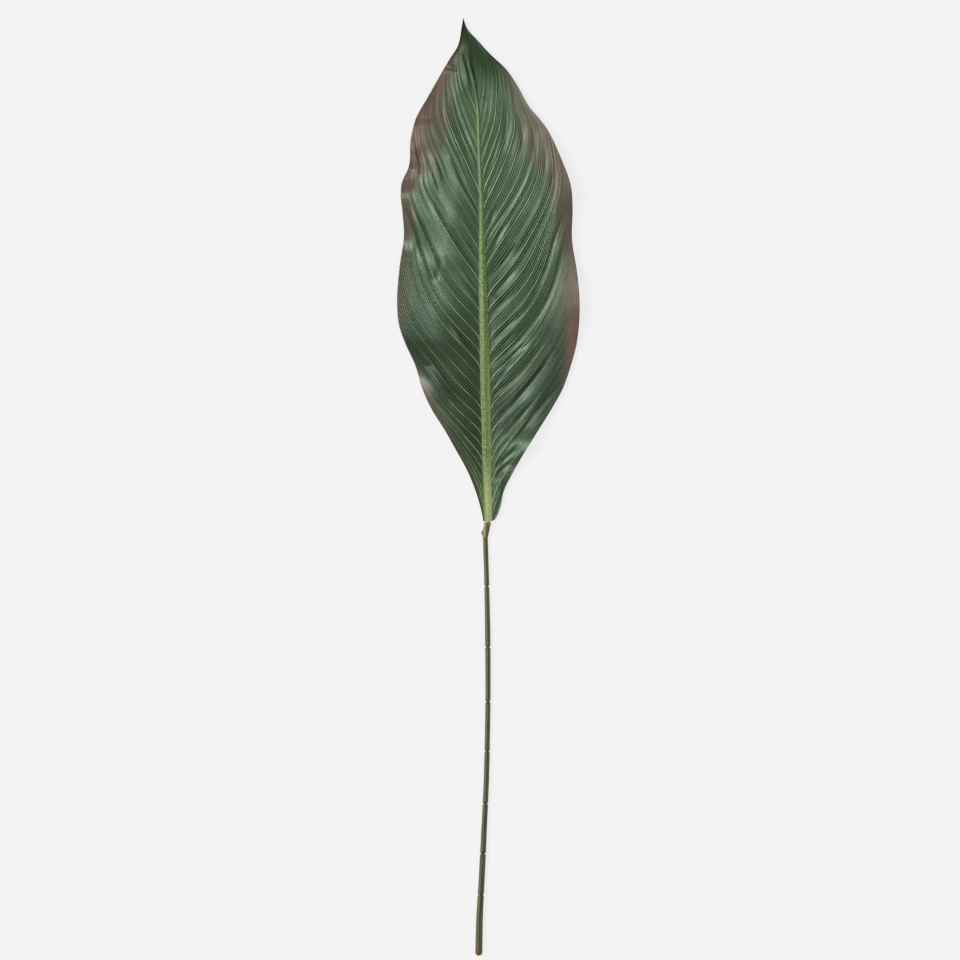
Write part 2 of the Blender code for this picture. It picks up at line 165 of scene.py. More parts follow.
# Folds along the veins, as (height, width of the left flank, width of the right flank, course), where the
# course is points (place along the leaf, place across it). A negative height is a valley. The heights are
# multiplied by the fold scale, and a fold fades out at each end over the fold fade or, when it is short,
# over a share of its length.
FOLDS = [
    (-1.15, 3.8, 11.0, [
        (117.5, -1.5), (126.5, 8.5), (137.0, 19.0), (146.0, 29.0), (159.0, 39.0), (170.5, 47.5),
        (183.5, 55.5), (195.5, 61.5), (208.0, 66.5), (220.0, 70.5), (234.5, 73.5), (252.0, 78.0),
    ]),
    (-0.5, 2.0, 7.0, [(122.0, -2.0), (134.0, 7.0), (146.0, 17.0), (160.0, 28.0)]),
    (-0.3, 6.0, 4.0, [(170.0, 0.0), (184.0, 13.0), (198.0, 24.0)]),
    (-0.7, 2.0, 5.0, [
        (186.5, 37.0), (194.5, 43.0), (203.0, 48.5), (213.0, 53.5), (224.0, 58.5), (235.5, 62.5),
        (247.5, 65.5), (258.5, 69.5), (271.0, 73.5), (286.0, 76.5),
    ]),
    (-0.5, 1.5, 4.0, [
        (333.5, 31.0), (342.0, 33.0), (352.0, 34.0), (362.0, 33.0), (372.5, 32.0), (382.5, 31.0),
    ]),
    (-0.5, 1.5, 4.0, [(323.5, 42.0), (331.5, 44.0), (342.0, 46.5), (352.0, 46.5), (367.0, 44.0)]),
    (-0.45, 1.5, 4.0, [(311.5, 55.5), (319.5, 56.5), (331.5, 57.5), (346.0, 55.5)]),
    (-0.4, 1.5, 4.0, [(291.0, 63.5), (311.5, 64.5), (326.5, 66.5)]),
    (-0.4, 3.0, 3.0, [(331.5, 12.0), (347.0, 16.0), (362.0, 18.0), (377.5, 18.0), (394.5, 17.0)]),
    (-0.5, 1.2, 3.5, [(257.5, -0.5), (271.0, 2.5), (284.0, 7.5)]),
    (-0.5, 1.2, 3.2, [(239.5, 3.5), (253.5, 9.5), (263.5, 15.0), (272.0, 19.0)]),
    (-1.0, 2.2, 7.0, [(207.0, -1.5), (218.0, 6.5), (230.0, 17.0), (240.5, 24.0), (249.5, 30.0)]),
    (-0.5, 1.3, 4.0, [(192.5, 3.5), (203.0, 12.0), (213.0, 20.0), (224.0, 27.0)]),
    (-0.6, 2.5, 5.0, [(147.0, 4.5), (159.0, 15.0), (170.5, 24.0), (180.5, 33.0)]),
    (-1.0, 2.5, 5.0, [(116.5, 9.5), (126.5, 20.0), (137.0, 29.0), (148.0, 41.0)]),
    (-1.0, 5.0, 7.0, [
        (90.0, 6.5), (100.5, 17.0), (109.5, 27.0), (119.5, 37.0), (131.0, 45.5), (141.0, 52.5), (153.0, 58.5),
    ]),
    (-1.2, 3.5, 6.0, [
        (69.0, 8.5), (79.0, 19.0), (88.0, 29.0), (100.5, 39.0), (110.5, 47.5), (121.5, 55.5), (139.0, 63.5),
    ]),
    (-1.2, 4.0, 6.0, [(47.5, 12.0), (58.5, 22.0), (70.0, 32.0), (82.0, 42.0), (95.5, 53.5)]),
    (-1.2, 3.0, 8.0, [(37.5, 17.0), (47.5, 27.0), (57.5, 35.0), (71.0, 44.0), (88.0, 57.5), (107.5, 68.5)]),
    (-1.1, 2.5, 4.0, [(15.0, 3.5), (26.5, 15.0), (36.5, 25.0), (45.5, 33.0)]),
    (-1.0, 2.0, 7.0, [(6.0, 5.5), (15.0, 12.0), (23.0, 19.0), (31.5, 26.0)]),
    (0.7, 5.0, 2.5, [
        (216.0, -49.0), (231.0, -54.0), (242.5, -59.5), (253.5, -64.5), (265.5, -69.5), (277.0, -74.5),
        (289.0, -78.5),
    ]),
    (0.8, 4.0, 3.0, [
        (208.0, -57.0), (220.0, -62.5), (231.0, -67.5), (242.5, -71.5), (253.5, -74.5), (265.5, -78.5),
        (277.0, -82.5), (287.0, -86.5),
    ]),
    (0.45, 6.0, 1.2, [
        (209.0, -10.5), (221.0, -17.5), (233.5, -26.0), (245.5, -34.0), (257.5, -42.0), (270.0, -49.0),
        (282.0, -54.0), (295.0, -58.0),
    ]),
    (0.5, 12.0, 28.0, [
        (212.0, -50.0), (225.0, -45.0), (240.0, -42.0), (265.0, -36.0), (290.0, -31.0), (315.0, -30.0),
        (338.0, -33.0), (362.0, -38.0),
    ]),
    (0.5, 14.0, 10.0, [
        (332.0, -38.0), (341.0, -41.0), (349.0, -46.0), (356.0, -51.0), (362.0, -56.0), (367.0, -60.5),
        (374.0, -66.5), (380.5, -73.0), (388.0, -80.0), (404.0, -92.0),
    ]),
    (0.3, 14.0, 10.0, [
        (308.0, -37.0), (322.0, -37.0), (332.0, -38.0), (341.0, -41.0), (349.0, -46.0), (356.0, -51.0),
        (367.0, -60.5), (380.5, -73.0), (404.0, -92.0),
    ]),
    (0.9, 24.0, 28.0, [(258.0, 50.0), (280.0, 53.0), (311.0, 54.0), (335.0, 52.0), (360.0, 48.0)]),
    (-0.5, 6.0, 18.0, [(215.0, -64.0), (235.0, -70.0), (255.0, -75.0), (280.0, -79.0)]),
    (-0.3, 6.0, 20.0, [
        (225.0, -66.0), (235.0, -70.0), (250.0, -74.0), (265.0, -77.0), (280.0, -78.0), (300.0, -76.0),
        (318.0, -70.0), (335.0, -62.0),
    ]),
    (0.5, 14.0, 20.0, [(126.0, -36.0), (145.0, -40.0), (160.0, -44.0), (175.0, -47.0), (198.0, -52.0)]),
    (0.6, 4.0, 1.5, [(304.5, -46.0), (317.5, -50.0), (329.5, -54.0), (342.0, -58.0)]),
    (0.6, 5.0, 1.8, [(293.0, -51.0), (307.5, -55.0), (320.5, -59.5), (332.5, -63.5), (345.0, -66.5)]),
    (0.8, 4.0, 2.0, [(313.5, -67.5), (326.5, -71.5), (338.0, -74.5), (351.0, -77.5)]),
    (1.3, 9.0, 5.0, [
        (82.0, -29.0), (90.0, -36.0), (98.0, -43.0), (108.0, -52.0), (118.0, -61.0), (130.0, -74.0),
        (144.0, -88.0),
    ]),
    (0.4, 8.0, 14.0, [(380.0, -34.0), (400.0, -32.0), (420.0, -31.0), (448.0, -31.0)]),
    (0.4, 6.0, 1.5, [(100.5, -39.0), (111.5, -47.0), (120.5, -53.0), (132.0, -60.5), (145.0, -69.5)]),
    (0.7, 3.0, 2.0, [(124.5, -10.5), (135.0, -17.5), (145.0, -25.0), (157.0, -33.0), (168.5, -40.0)]),
    (0.8, 5.0, 1.8, [(395.5, -18.5), (409.0, -20.5), (421.0, -22.5), (433.0, -26.0), (445.5, -29.0)]),
    (0.6, 2.5, 1.8, [(392.5, -11.5), (404.5, -13.5), (417.0, -16.5), (429.0, -19.5), (443.5, -21.5)]),
    (0.9, 6.0, 3.0, [(420.0, -34.0), (426.0, -39.0), (431.0, -43.0)]),
]
FOLD_SCALE = 2.5
FOLD_FADE = 24
FOLD_FADE_SHARE = 0.45
WIDE_FLANK = 13

# Short creases pressed across the veins, as (x, y, x, y, half width, height)
CREASES = [
    (-7.5, 395.6, -0.4, 396.6, 1.3, -0.7),
    (-7.5, 379.4, 0.6, 380.4, 1.2, -0.5),
    (-5.5, 368.7, 7.7, 371.3, 1.2, -0.8),
    (22.9, 373.3, 30.0, 375.3, 1.0, -0.5),
    (-4.5, 302.3, 1.6, 294.1, 1.5, -0.6),
    (0.6, 193.0, 9.5, 188.0, 2.5, 0.7),
    (-47.0, 345.0, -41.0, 334.0, 1.6, -0.5),
    (-52.2, 213.0, -48.1, 228.2, 2.5, -0.3),
    (-58.2, 208.9, -52.2, 212.0, 2.0, -0.3),
]

# Where the margin turns down more sharply, as (side, sharp end, soft end, width, depth). At a negative
# depth it turns up.
MARGIN_TUCKS = [
    (LEFT, 239.5, 268.0, 11.0, 4.0),
    (LEFT, 316.0, 331.0, 12.0, 1.8),
    (LEFT, 304.0, 285.0, 16.0, 2.4),
    (LEFT, 372.0, 344.0, 24.0, 2.6),
    (LEFT, 432.0, 398.0, 12.0, 1.8),
    (LEFT, 400.0, 372.0, 20.0, -1.4),
    (LEFT, 346.0, 334.0, 14.0, -1.2),
    (LEFT, 305.0, 318.0, 16.0, -1.4),
    (LEFT, 285.0, 266.0, 12.0, -1.2),
    (LEFT, 129.0, 88.0, 24.0, 7.0),
    (RIGHT, 165.0, 210.0, 14.0, 0.5),
    (RIGHT, 297.0, 196.0, 16.0, 6.0),
]

# How fine the blade's grid is, with its columns closer towards the margin, and how near points meet as one
ROWS_PER_VEIN = 11
COLUMNS = 52
COLUMN_CROWDING = 1.15
RIB_COLUMNS = 7
WELD_DISTANCE = 0.002

# The shader tells the right half from the left one by this much more in the number of the vein
UV_RIGHT_OFFSET = 60.0


def smooth(points, at):
    """The value, at each place in at, of a smooth curve through the points (place, value)."""
    place, value = np.array(sorted(points), float).T
    gap = np.diff(place)
    slope = np.diff(value) / gap
    inner = (gap[1:] * slope[:-1] + gap[:-1] * slope[1:]) / (gap[1:] + gap[:-1])
    slope = np.concatenate([slope[:1], inner, slope[-1:]])
    at = np.clip(at, place[0], place[-1])
    left = np.clip(np.searchsorted(place, at, side="right") - 1, 0, len(gap) - 1)
    f = (at - place[left]) / gap[left]
    rise = value[left] * (1 + 2 * f) * (1 - f) ** 2 + value[left + 1] * f * f * (3 - 2 * f)
    bend = slope[left] * f * (1 - f) ** 2 - slope[left + 1] * f * f * (1 - f)
    return rise + bend * gap[left]


def ease(low, high, value):
    """0 below low, 1 above high, and a smooth step in between."""
    f = np.clip((value - low) / (high - low), 0, 1)
    return f * f * (3 - 2 * f)


def bell(distance):
    """1 at distance 0, falling to nothing at about 2 on either side."""
    return np.exp(-(distance**2))


def wander(seed, x, y):
    """Soft random hills between -1 and 1: random values on whole numbers of x and y, eased in between."""
    x, y = np.broadcast_arrays(np.asarray(x, float), np.asarray(y, float))
    size = 64
    values = np.random.default_rng(seed).uniform(-1, 1, (size, size))
    i, j = np.floor(x).astype(int), np.floor(y).astype(int)
    fx, fy = ease(0, 1, x - i), ease(0, 1, y - j)
    low = values[i % size, j % size] * (1 - fx) + values[(i + 1) % size, j % size] * fx
    high = values[i % size, (j + 1) % size] * (1 - fx) + values[(i + 1) % size, (j + 1) % size] * fx
    return low * (1 - fy) + high * fy


def share(y):
    """How far along the blade y lies, from 0 at the foot to 1 at the tip."""
    return (y - BLADE_FOOT) / BLADE_LENGTH


def margin_x(side, y):
    """Where the margin is at y. It runs over the root of the distance from the foot, for a round lobe."""
    points = [(max(share(a), 0) ** 0.5, x) for a, x in MARGIN[side]]
    return smooth(points, np.clip(share(y), 0, 1) ** 0.5)


def midrib_edge(side, y):
    """Where the midrib's edge is at y. It never passes the margin."""
    middle = smooth(MIDRIB_LINE, y)
    room = (margin_x(side, y) - middle) * side
    return middle + side * np.minimum(smooth(MIDRIB_HALF_WIDTH, y), room)


def from_margin(side, across, y):
    """How far inwards from the margin a share of the way across lies at y."""
    return (1 - across) * np.abs(margin_x(side, y) - midrib_edge(side, y))


def vein_grid(side, number, across):
    """Plan positions on these veins, from the midrib's edge (across = 0) to the margin (across = 1).

    A vein leaves the midrib at its start and meets the margin at its reach. In between it rises by a line and
    a power of the share of the way across. A short hook, fading within a few millimetres of the midrib, makes
    it leave the midrib nearly along it.
    """
    start = (number / VEINS) ** VEIN_CROWDING
    reach = smooth(REACH[side], start)
    y0 = BLADE_FOOT + BLADE_LENGTH * start
    rise = BLADE_LENGTH * (reach - start)
    straight = smooth(STRAIGHT, start)
    power = 3.5 - 1.5 * ease(0.55, 0.72, start)
    width = np.abs(margin_x(side, y0) - midrib_edge(side, y0))
    hook = HOOK * np.minimum(1, number / 6) * np.minimum(1, width / 25) * np.exp(-across * width / HOOK_REACH)
    y = y0 + rise * (straight * across + (1 - straight) * across**power) - hook
    edge = midrib_edge(side, y)
    return edge + across * (margin_x(side, y) - edge), y


def blade_height(side, across, y):
    """Height of the upper face: a valley along the midrib, an arch in each half and a waved margin.

    Crest is a power of the share across that moves the top of the arch, and spread says how much of the
    margin's height is reached on the way across.
    """
    if side == LEFT:
        crest = 0.8
        spread = 0.65 * across + 0.35 * ease(0.1, 1.0, across)
    else:
        crest = 1.7 - 0.7 * ease(75, 125, y)
        spread = across ** (2.2 - 0.8 * ease(180, 240, y))
    rib = smooth(MIDRIB_HEIGHT, y)
    arch = smooth(ARCH_HEIGHT[side], y) * np.sin(np.pi * across**crest)
    wave = (smooth(MARGIN_HEIGHT[side], y) - rib) * spread + MARGIN_ROLL * across**8
    return rib + arch + wave


def pleats(side, number, across):
    """Height of the pleats: a ridge along each vein, and softer folds two or three veins wide.

    Each is a cosine of the vein's number, which random hills push to and fro and make higher or lower. The
    ridges sink towards the margin, and the folds of the right half are calmer in its upper part.
    """
    ends = np.minimum(1, number / 5) * np.minimum(1, (VEINS - number) / 5)
    drift = number + 0.4 * wander(3 + side, number * 0.8, across * 2.5)
    broken = np.clip(0.5 + 0.9 * wander(11 + side, number * 0.9 + 5, across * 3.5), 0, 1)
    ridge = smooth(PLEAT_HEIGHT[side], number) * np.cos(2 * np.pi * drift) * broken
    narrow = 0.6 + 0.6 * wander(21 + side, number * 0.4, across * 3)
    wide = 0.5 + 0.7 * wander(31 + side, number * 0.3, across * 2.5)
    fold = 0.22 * np.cos(2 * np.pi * drift / 1.9 + side) * narrow
    fold = fold + 0.3 * np.cos(2 * np.pi * drift / 3.1) * wide
    calm = 1.0 if side == LEFT else 1 - 0.5 * ease(16, 26, number)
    envelope = calm * np.clip(np.sin(np.pi * across**0.7), 0, 1) ** 0.6
    return ends * (ridge * (1 - 0.7 * across) * ease(0, 0.1, across) + fold * envelope)


def folds(x, y):
    """Height of the folds: at each distance from a fold's course, its height times a bell-like falloff.

    The falloff has a width for each flank, is rounder on a wide flank, and fades out towards the two ends.
    """
    total = np.zeros(np.broadcast(x, y).shape)
    for height, left_width, right_width, course in FOLDS:
        low, high = course[0][0], course[-1][0]
        lean = (smooth(course, y + 1) - smooth(course, y - 1)) / 2
        away = (x - smooth(course, y)) / np.sqrt(1 + lean**2)
        width = np.where(away < 0, left_width, right_width)
        run = min(FOLD_FADE, FOLD_FADE_SHARE * (high - low))
        taper = ease(low, low + run, y) * ease(high, high - run, y)
        power = np.where(width > WIDE_FLANK, 2.0, 1.5)
        total += FOLD_SCALE * height * taper * np.exp(-(np.abs(away / width) ** power))
    return total


def creases(x, y):
    """Height of the short creases: a bell across each line between its ends, sinking to nothing past them."""
    total = np.zeros(np.broadcast(x, y).shape)
    for x0, y0, x1, y1, half_width, height in CREASES:
        run = np.hypot(x1 - x0, y1 - y0)
        along = ((x - x0) * (x1 - x0) + (y - y0) * (y1 - y0)) / run
        away = ((x - x0) * (y1 - y0) - (y - y0) * (x1 - x0)) / run
        past = np.maximum(0, np.abs(along - run / 2) - run / 2)
        total += height * bell(np.hypot(away, past) / half_width)
    return total


def margin_tucks(side, across, y):
    """Height lost where the margin turns down: a ramp towards the margin between a sharp and a soft end."""
    inwards = from_margin(side, across, y)
    total = np.zeros(inwards.shape)
    for tuck_side, sharp, soft, width, depth in MARGIN_TUCKS:
        if tuck_side == side:
            f = (y - sharp) / (soft - sharp)
            ramp = np.clip(1 - inwards / width, 0, 1) ** 1.3
            total -= depth * ramp * ease(0, 0.15, f) * (1 - ease(0.3, 1, f))
    return total


def mesh_of(name, verts, quads, materials):
    """An object from points in millimetres and four-sided faces."""
    mesh = bpy.data.meshes.new(name)
    mesh.from_pydata((verts * MM).tolist(), [], quads.tolist())
    for material in materials:
        mesh.materials.append(material)
    mesh.shade_smooth()
    obj = bpy.data.objects.new(name, mesh)
    bpy.context.collection.objects.link(obj)
    return obj


def grid_quads(rows, columns, wrap=False):
    """Corner numbers of the cells of a grid of points, counted along its rows."""
    index = np.arange(rows * columns).reshape(rows, columns)
    if wrap:
        index = np.hstack([index, index[:, :1]])
    return np.stack([index[:-1, :-1], index[:-1, 1:], index[1:, 1:], index[1:, :-1]], -1)


def weld(obj):
    """Merges points that meet and drops faces without area."""
    bm = bmesh.new()
    bm.from_mesh(obj.data)
    bmesh.ops.remove_doubles(bm, verts=bm.verts, dist=WELD_DISTANCE * MM)
    bmesh.ops.dissolve_degenerate(bm, edges=bm.edges, dist=WELD_DISTANCE * MM)
    bm.to_mesh(obj.data)
    bm.free()


def set_points(obj, **values):
    """Stores one number per point under each name."""
    for name, value in values.items():
        layer = obj.data.attributes.new(name, "FLOAT", "POINT")
        layer.data.foreach_set("value", np.ascontiguousarray(value, np.float32).ravel())


# Bands of colour along each margin, as (place along the leaf, width of the band, strength)
TAN = {
    LEFT: [
        (47, 6, 0.25), (68, 9, 0.6), (88, 10, 0.7), (108, 9, 0.6), (118, 7, 0.3), (130, 6, 0.1),
        (150, 6, 0.1), (165, 12, 0.5), (190, 18, 0.65), (225, 16, 0.6), (240, 12, 0.7), (262, 13, 0.8),
        (291, 18, 0.75), (311, 24, 0.8), (332, 32, 0.85), (352, 38, 0.9), (372, 38, 0.9), (392, 30, 0.85),
        (408, 20, 0.7), (425, 16, 0.6), (440, 10, 0.5), (450, 5, 0.2), (460, 3, 0.0),
    ],
    RIGHT: [
        (60, 4, 0.0), (100, 8, 0.3), (125, 14, 0.5), (150, 22, 0.6), (175, 30, 0.75), (195, 30, 0.85),
        (215, 22, 0.8), (240, 18, 0.8), (262, 18, 0.8), (285, 24, 0.85), (311, 30, 0.85), (340, 40, 0.85),
        (365, 30, 0.8), (385, 18, 0.7), (400, 14, 0.6), (415, 12, 0.4), (430, 8, 0.1), (440, 5, 0.0),
    ],
}
PURPLE = {
    LEFT: [
        (60, 3, 0.0), (80, 6, 0.4), (90, 7, 0.5), (105, 6, 0.5), (115, 5, 0.2), (150, 3, 0.05), (200, 3, 0.1),
        (240, 3, 0.1), (262, 5, 0.15), (295, 6, 0.3), (311, 14, 0.8), (325, 14, 0.9), (345, 14, 0.9),
        (365, 14, 0.8), (385, 14, 0.85), (400, 10, 0.8), (415, 7, 0.6), (430, 5, 0.3), (445, 3, 0.0),
    ],
    RIGHT: [
        (100, 4, 0.0), (125, 8, 0.4), (145, 12, 0.85), (165, 14, 0.95), (190, 13, 0.85), (210, 10, 0.6),
        (235, 8, 0.6), (250, 6, 0.5), (270, 5, 0.3), (300, 5, 0.3), (325, 7, 0.4), (345, 12, 0.6),
        (362, 9, 0.75), (375, 5, 0.4), (390, 4, 0.1), (420, 3, 0.0),
    ],
}


def margin_band(bands, seed, side, across, y):
    """Strength of a band of colour: most at the margin, fading inwards over a width that random hills vary."""
    width = smooth([(a, w) for a, w, _ in bands[side]], y)
    strength = smooth([(a, s) for a, _, s in bands[side]], y)
    inwards = from_margin(side, across, y) + 0.18 * width * wander(seed + side, y / 12, across * 8)
    return np.clip(strength, 0, 1) * (1 - ease(0.35, 1.25, inwards / np.maximum(width, 1)))


def vein_pitch(number, x, y):
    """How far apart the veins are at each point, measured across the direction from midrib to margin."""
    step = np.gradient(np.stack([x, y], -1), axis=0) / np.gradient(number, axis=0)[:, :, None]
    along = np.gradient(np.stack([x, y], -1), axis=1)
    along /= np.maximum(np.linalg.norm(along, axis=-1, keepdims=True), 1e-6)
    return np.abs(step[..., 0] * along[..., 1] - step[..., 1] * along[..., 0])


def half_blade(side, number):
    """Grids of one half from the midrib's middle line to the margin, as a dict of arrays."""
    across = 1 - np.linspace(1, 0, COLUMNS)[None, :] ** COLUMN_CROWDING
    x, y = vein_grid(side, number, across)
    room = np.clip(vein_pitch(number, x, y) / 6, 0, 1)
    top = blade_height(side, across, y) + pleats(side, number, across) * room
    top = top + folds(x, y) + creases(x, y) + margin_tucks(side, across, y)
    top = np.maximum(top, BLADE_THICKNESS)
    bottom = top - BLADE_THICKNESS
    tan = margin_band(TAN, 41, side, across, y)
    purple = margin_band(PURPLE, 44, side, across, y)
    y0, edge_z = y[:, :1], top[:, :1]
    middle_x = smooth(MIDRIB_LINE, y0)
    middle_z = smooth(MIDRIB_HEIGHT, y0) + folds(middle_x, y0) + creases(middle_x, y0)
    half_width = (x[:, :1] - middle_x) * side
    v = np.repeat(across, len(number), axis=0)
    offset = np.linspace(0, 1, RIB_COLUMNS + 1)[None, :-1]
    level = middle_z + (edge_z - middle_z) * offset
    round_off = half_width * (1 - offset**2)
    x = np.hstack([middle_x + side * offset * half_width, x])
    y = np.hstack([np.repeat(y0, RIB_COLUMNS, axis=1), y])
    top = np.hstack([level + MIDRIB_RISE * round_off, top])
    bottom = np.hstack([level - BLADE_THICKNESS - MIDRIB_DROP * round_off, bottom])
    tan = np.hstack([np.zeros_like(level), tan])
    purple = np.hstack([np.zeros_like(level), purple])
    v = np.hstack([np.repeat(offset - 1, len(number), axis=0), v])
    pitch = vein_pitch(number, x, y)
    return {"x": x, "y": y, "top": top, "bottom": bottom, "tan": tan, "purple": purple, "v": v, "pitch": pitch}


def make_blade(face, back):
    """The blade as one closed sheet: both halves in one grid, with an upper and a lower face and a rim.

    Its rows are twice as close before the first vein, where the blade is widening fast.
    """
    first = np.arange(0, 2 * ROWS_PER_VEIN) / (2 * ROWS_PER_VEIN)
    others = np.arange(ROWS_PER_VEIN, VEINS * ROWS_PER_VEIN + 1) / ROWS_PER_VEIN
    number = np.concatenate([first, others])[:, None]
    left, right = half_blade(LEFT, number), half_blade(RIGHT, number)
    both = {key: np.hstack([left[key][:, :0:-1], right[key]]) for key in left}
    rows, columns = both["x"].shape
    centre = left["x"].shape[1] - 1
    top = np.stack([both["x"], both["y"], both["top"]], -1).reshape(-1, 3)
    bottom = np.stack([both["x"], both["y"], both["bottom"]], -1).reshape(-1, 3)
    cells = grid_quads(rows, columns)
    index = np.arange(rows * columns).reshape(rows, columns)
    rim = np.concatenate([index[::-1, 0], index[0, 1:], index[1:, -1]])
    walls = np.stack([rim[:-1], rim[:-1] + len(top), rim[1:] + len(top), rim[1:]], -1)
    upper = cells.reshape(-1, 4)
    lower = cells[..., ::-1].reshape(-1, 4) + len(top)
    quads = np.concatenate([upper, lower, walls])
    obj = mesh_of("leaf_blade_fine", np.concatenate([top, bottom]), quads, [face, back])
    kind = np.concatenate([np.zeros(len(upper)), np.ones(len(lower)), np.zeros(len(walls))]).astype(np.int32)
    obj.data.polygons.foreach_set("material_index", kind)
    is_right = np.concatenate([(np.arange(columns - 1) >= centre)[None, :].repeat(rows - 1, 0).ravel()] * 2
                              + [rim[:-1] % columns >= centre])
    u = np.tile(np.repeat(number, columns, axis=1).ravel(), 2)
    v = np.tile(both["v"].ravel(), 2)
    corner = quads.ravel()
    uv = np.stack([u[corner] + np.repeat(is_right, 4) * UV_RIGHT_OFFSET, v[corner]], -1)
    layer = obj.data.uv_layers.new(name="veins")
    layer.data.foreach_set("uv", uv.astype(np.float32).ravel())
    set_points(obj, **{key: np.tile(both[key].ravel(), 2) for key in ("tan", "purple", "pitch")})
    weld(obj)
    return obj


def make_rod(name, x, y, z, material):
    """A rod through rings of points, one ring to a row."""
    quads = grid_quads(*x.shape, wrap=True).reshape(-1, 4)
    return mesh_of(name, np.stack([x, y, z], -1).reshape(-1, 3), quads, [material])


def make_collar(material):
    """Rings of a tapering plug, lumpy with soft random hills, whose radius swells at its two lugs."""
    turn = np.linspace(0, 2 * np.pi, 64, endpoint=False)[None, :]
    y = np.linspace(BLADE_FOOT - SEAT_GAP, COLLAR_END, 72)[:, None]
    radius = smooth(COLLAR_RADIUS, y) + 0 * turn
    for place, middle, half_length, half_angle, rise in COLLAR_LUGS:
        away = (np.degrees(turn) - middle + 180) % 360 - 180
        radius = radius + rise * bell(np.hypot((y - place) / half_length, away / half_angle))
    radius = radius + 0.16 * wander(51, y / 1.6, np.cos(turn) * 2.2 + 9) * np.cos(turn * 2 + 1)
    radius = radius + 0.10 * wander(52, y / 0.9 + 20, np.sin(turn) * 3.0 + 9)
    ends = np.minimum(1, np.minimum(y - COLLAR_END, BLADE_FOOT - SEAT_GAP - y) / 0.5 + 0.95)
    radius = radius * ends
    x = smooth(COLLAR_LINE, y) + radius * np.cos(turn)
    z = np.maximum(smooth(COLLAR_HEIGHT, y) + radius * np.sin(turn), 0)
    x, y, z = closed_ends(x, y + 0 * turn, z)
    collar = make_rod("stem_collar_fine", x, y, z, material)
    weld(collar)
    return collar


def closed_ends(x, y, z):
    """The rings with one more at each end, drawn in to the middle of the end's ring."""
    def closed(values):
        first, last = values[:1].mean(1, keepdims=True), values[-1:].mean(1, keepdims=True)
        blank = np.ones_like(values[:1])
        return np.vstack([first * blank, values, last * blank])

    return closed(x), closed(y), closed(z)


def make_stem(material):
    """A slim rod with seven joints: a sunk ring with a sharp notch at its lower end, between two low lips."""
    turn = np.linspace(0, 2 * np.pi, 48, endpoint=False)[None, :]
    top = COLLAR_END - SEAT_GAP
    plain = np.arange(STEM_END + STEM_END_ROUND + 1.0, top - 1.0, 1.6)
    joints = np.concatenate([place + np.linspace(-4.0, 4.5, 27) for place in STEM_NOTCHES])
    plain = plain[np.min(np.abs(plain[:, None] - np.array(STEM_NOTCHES)), axis=1) > 4.6]
    rounding = STEM_END + STEM_END_ROUND * (1 - np.cos(np.linspace(0, np.pi / 2, 12)))
    y = np.sort(np.concatenate([plain, joints, rounding, [top - 0.8, top - 0.4, top]]))[:, None]
    full = smooth(STEM_RADIUS, y)
    radius = full + 0 * turn
    for place in STEM_NOTCHES:
        above = y - place
        radius = radius - RING_DEPTH * (1 - ease(0.15, 1.9, above)) * ease(-0.9, -0.5, above)
        radius = radius - NOTCH_DEPTH * bell((above + 0.75) / 0.35)
        radius = radius + LIP_HEIGHT * (bell((above + 1.6) / 0.7) + bell((above - 2.6) / 1.3))
    radius = radius + 0.05 * wander(61, y / 9, np.cos(turn) * 2 + 9) + 0.03 * wander(62, y / 40, turn * 3)
    into = np.clip((STEM_END + STEM_END_ROUND - y) / STEM_END_ROUND, 0, 1)
    radius = radius * np.sqrt(1 - into**2 * 0.96)
    x = smooth(STEM_LINE, y) + radius * np.cos(turn)
    z = np.maximum(full + radius * np.sin(turn), 0)
    x, y, z = closed_ends(x, y + 0 * turn, z)
    stem = make_rod("stem_fine", x, y, z, material)
    set_points(stem, across=np.cos(turn) + 0 * x)
    weld(stem)
    return stem


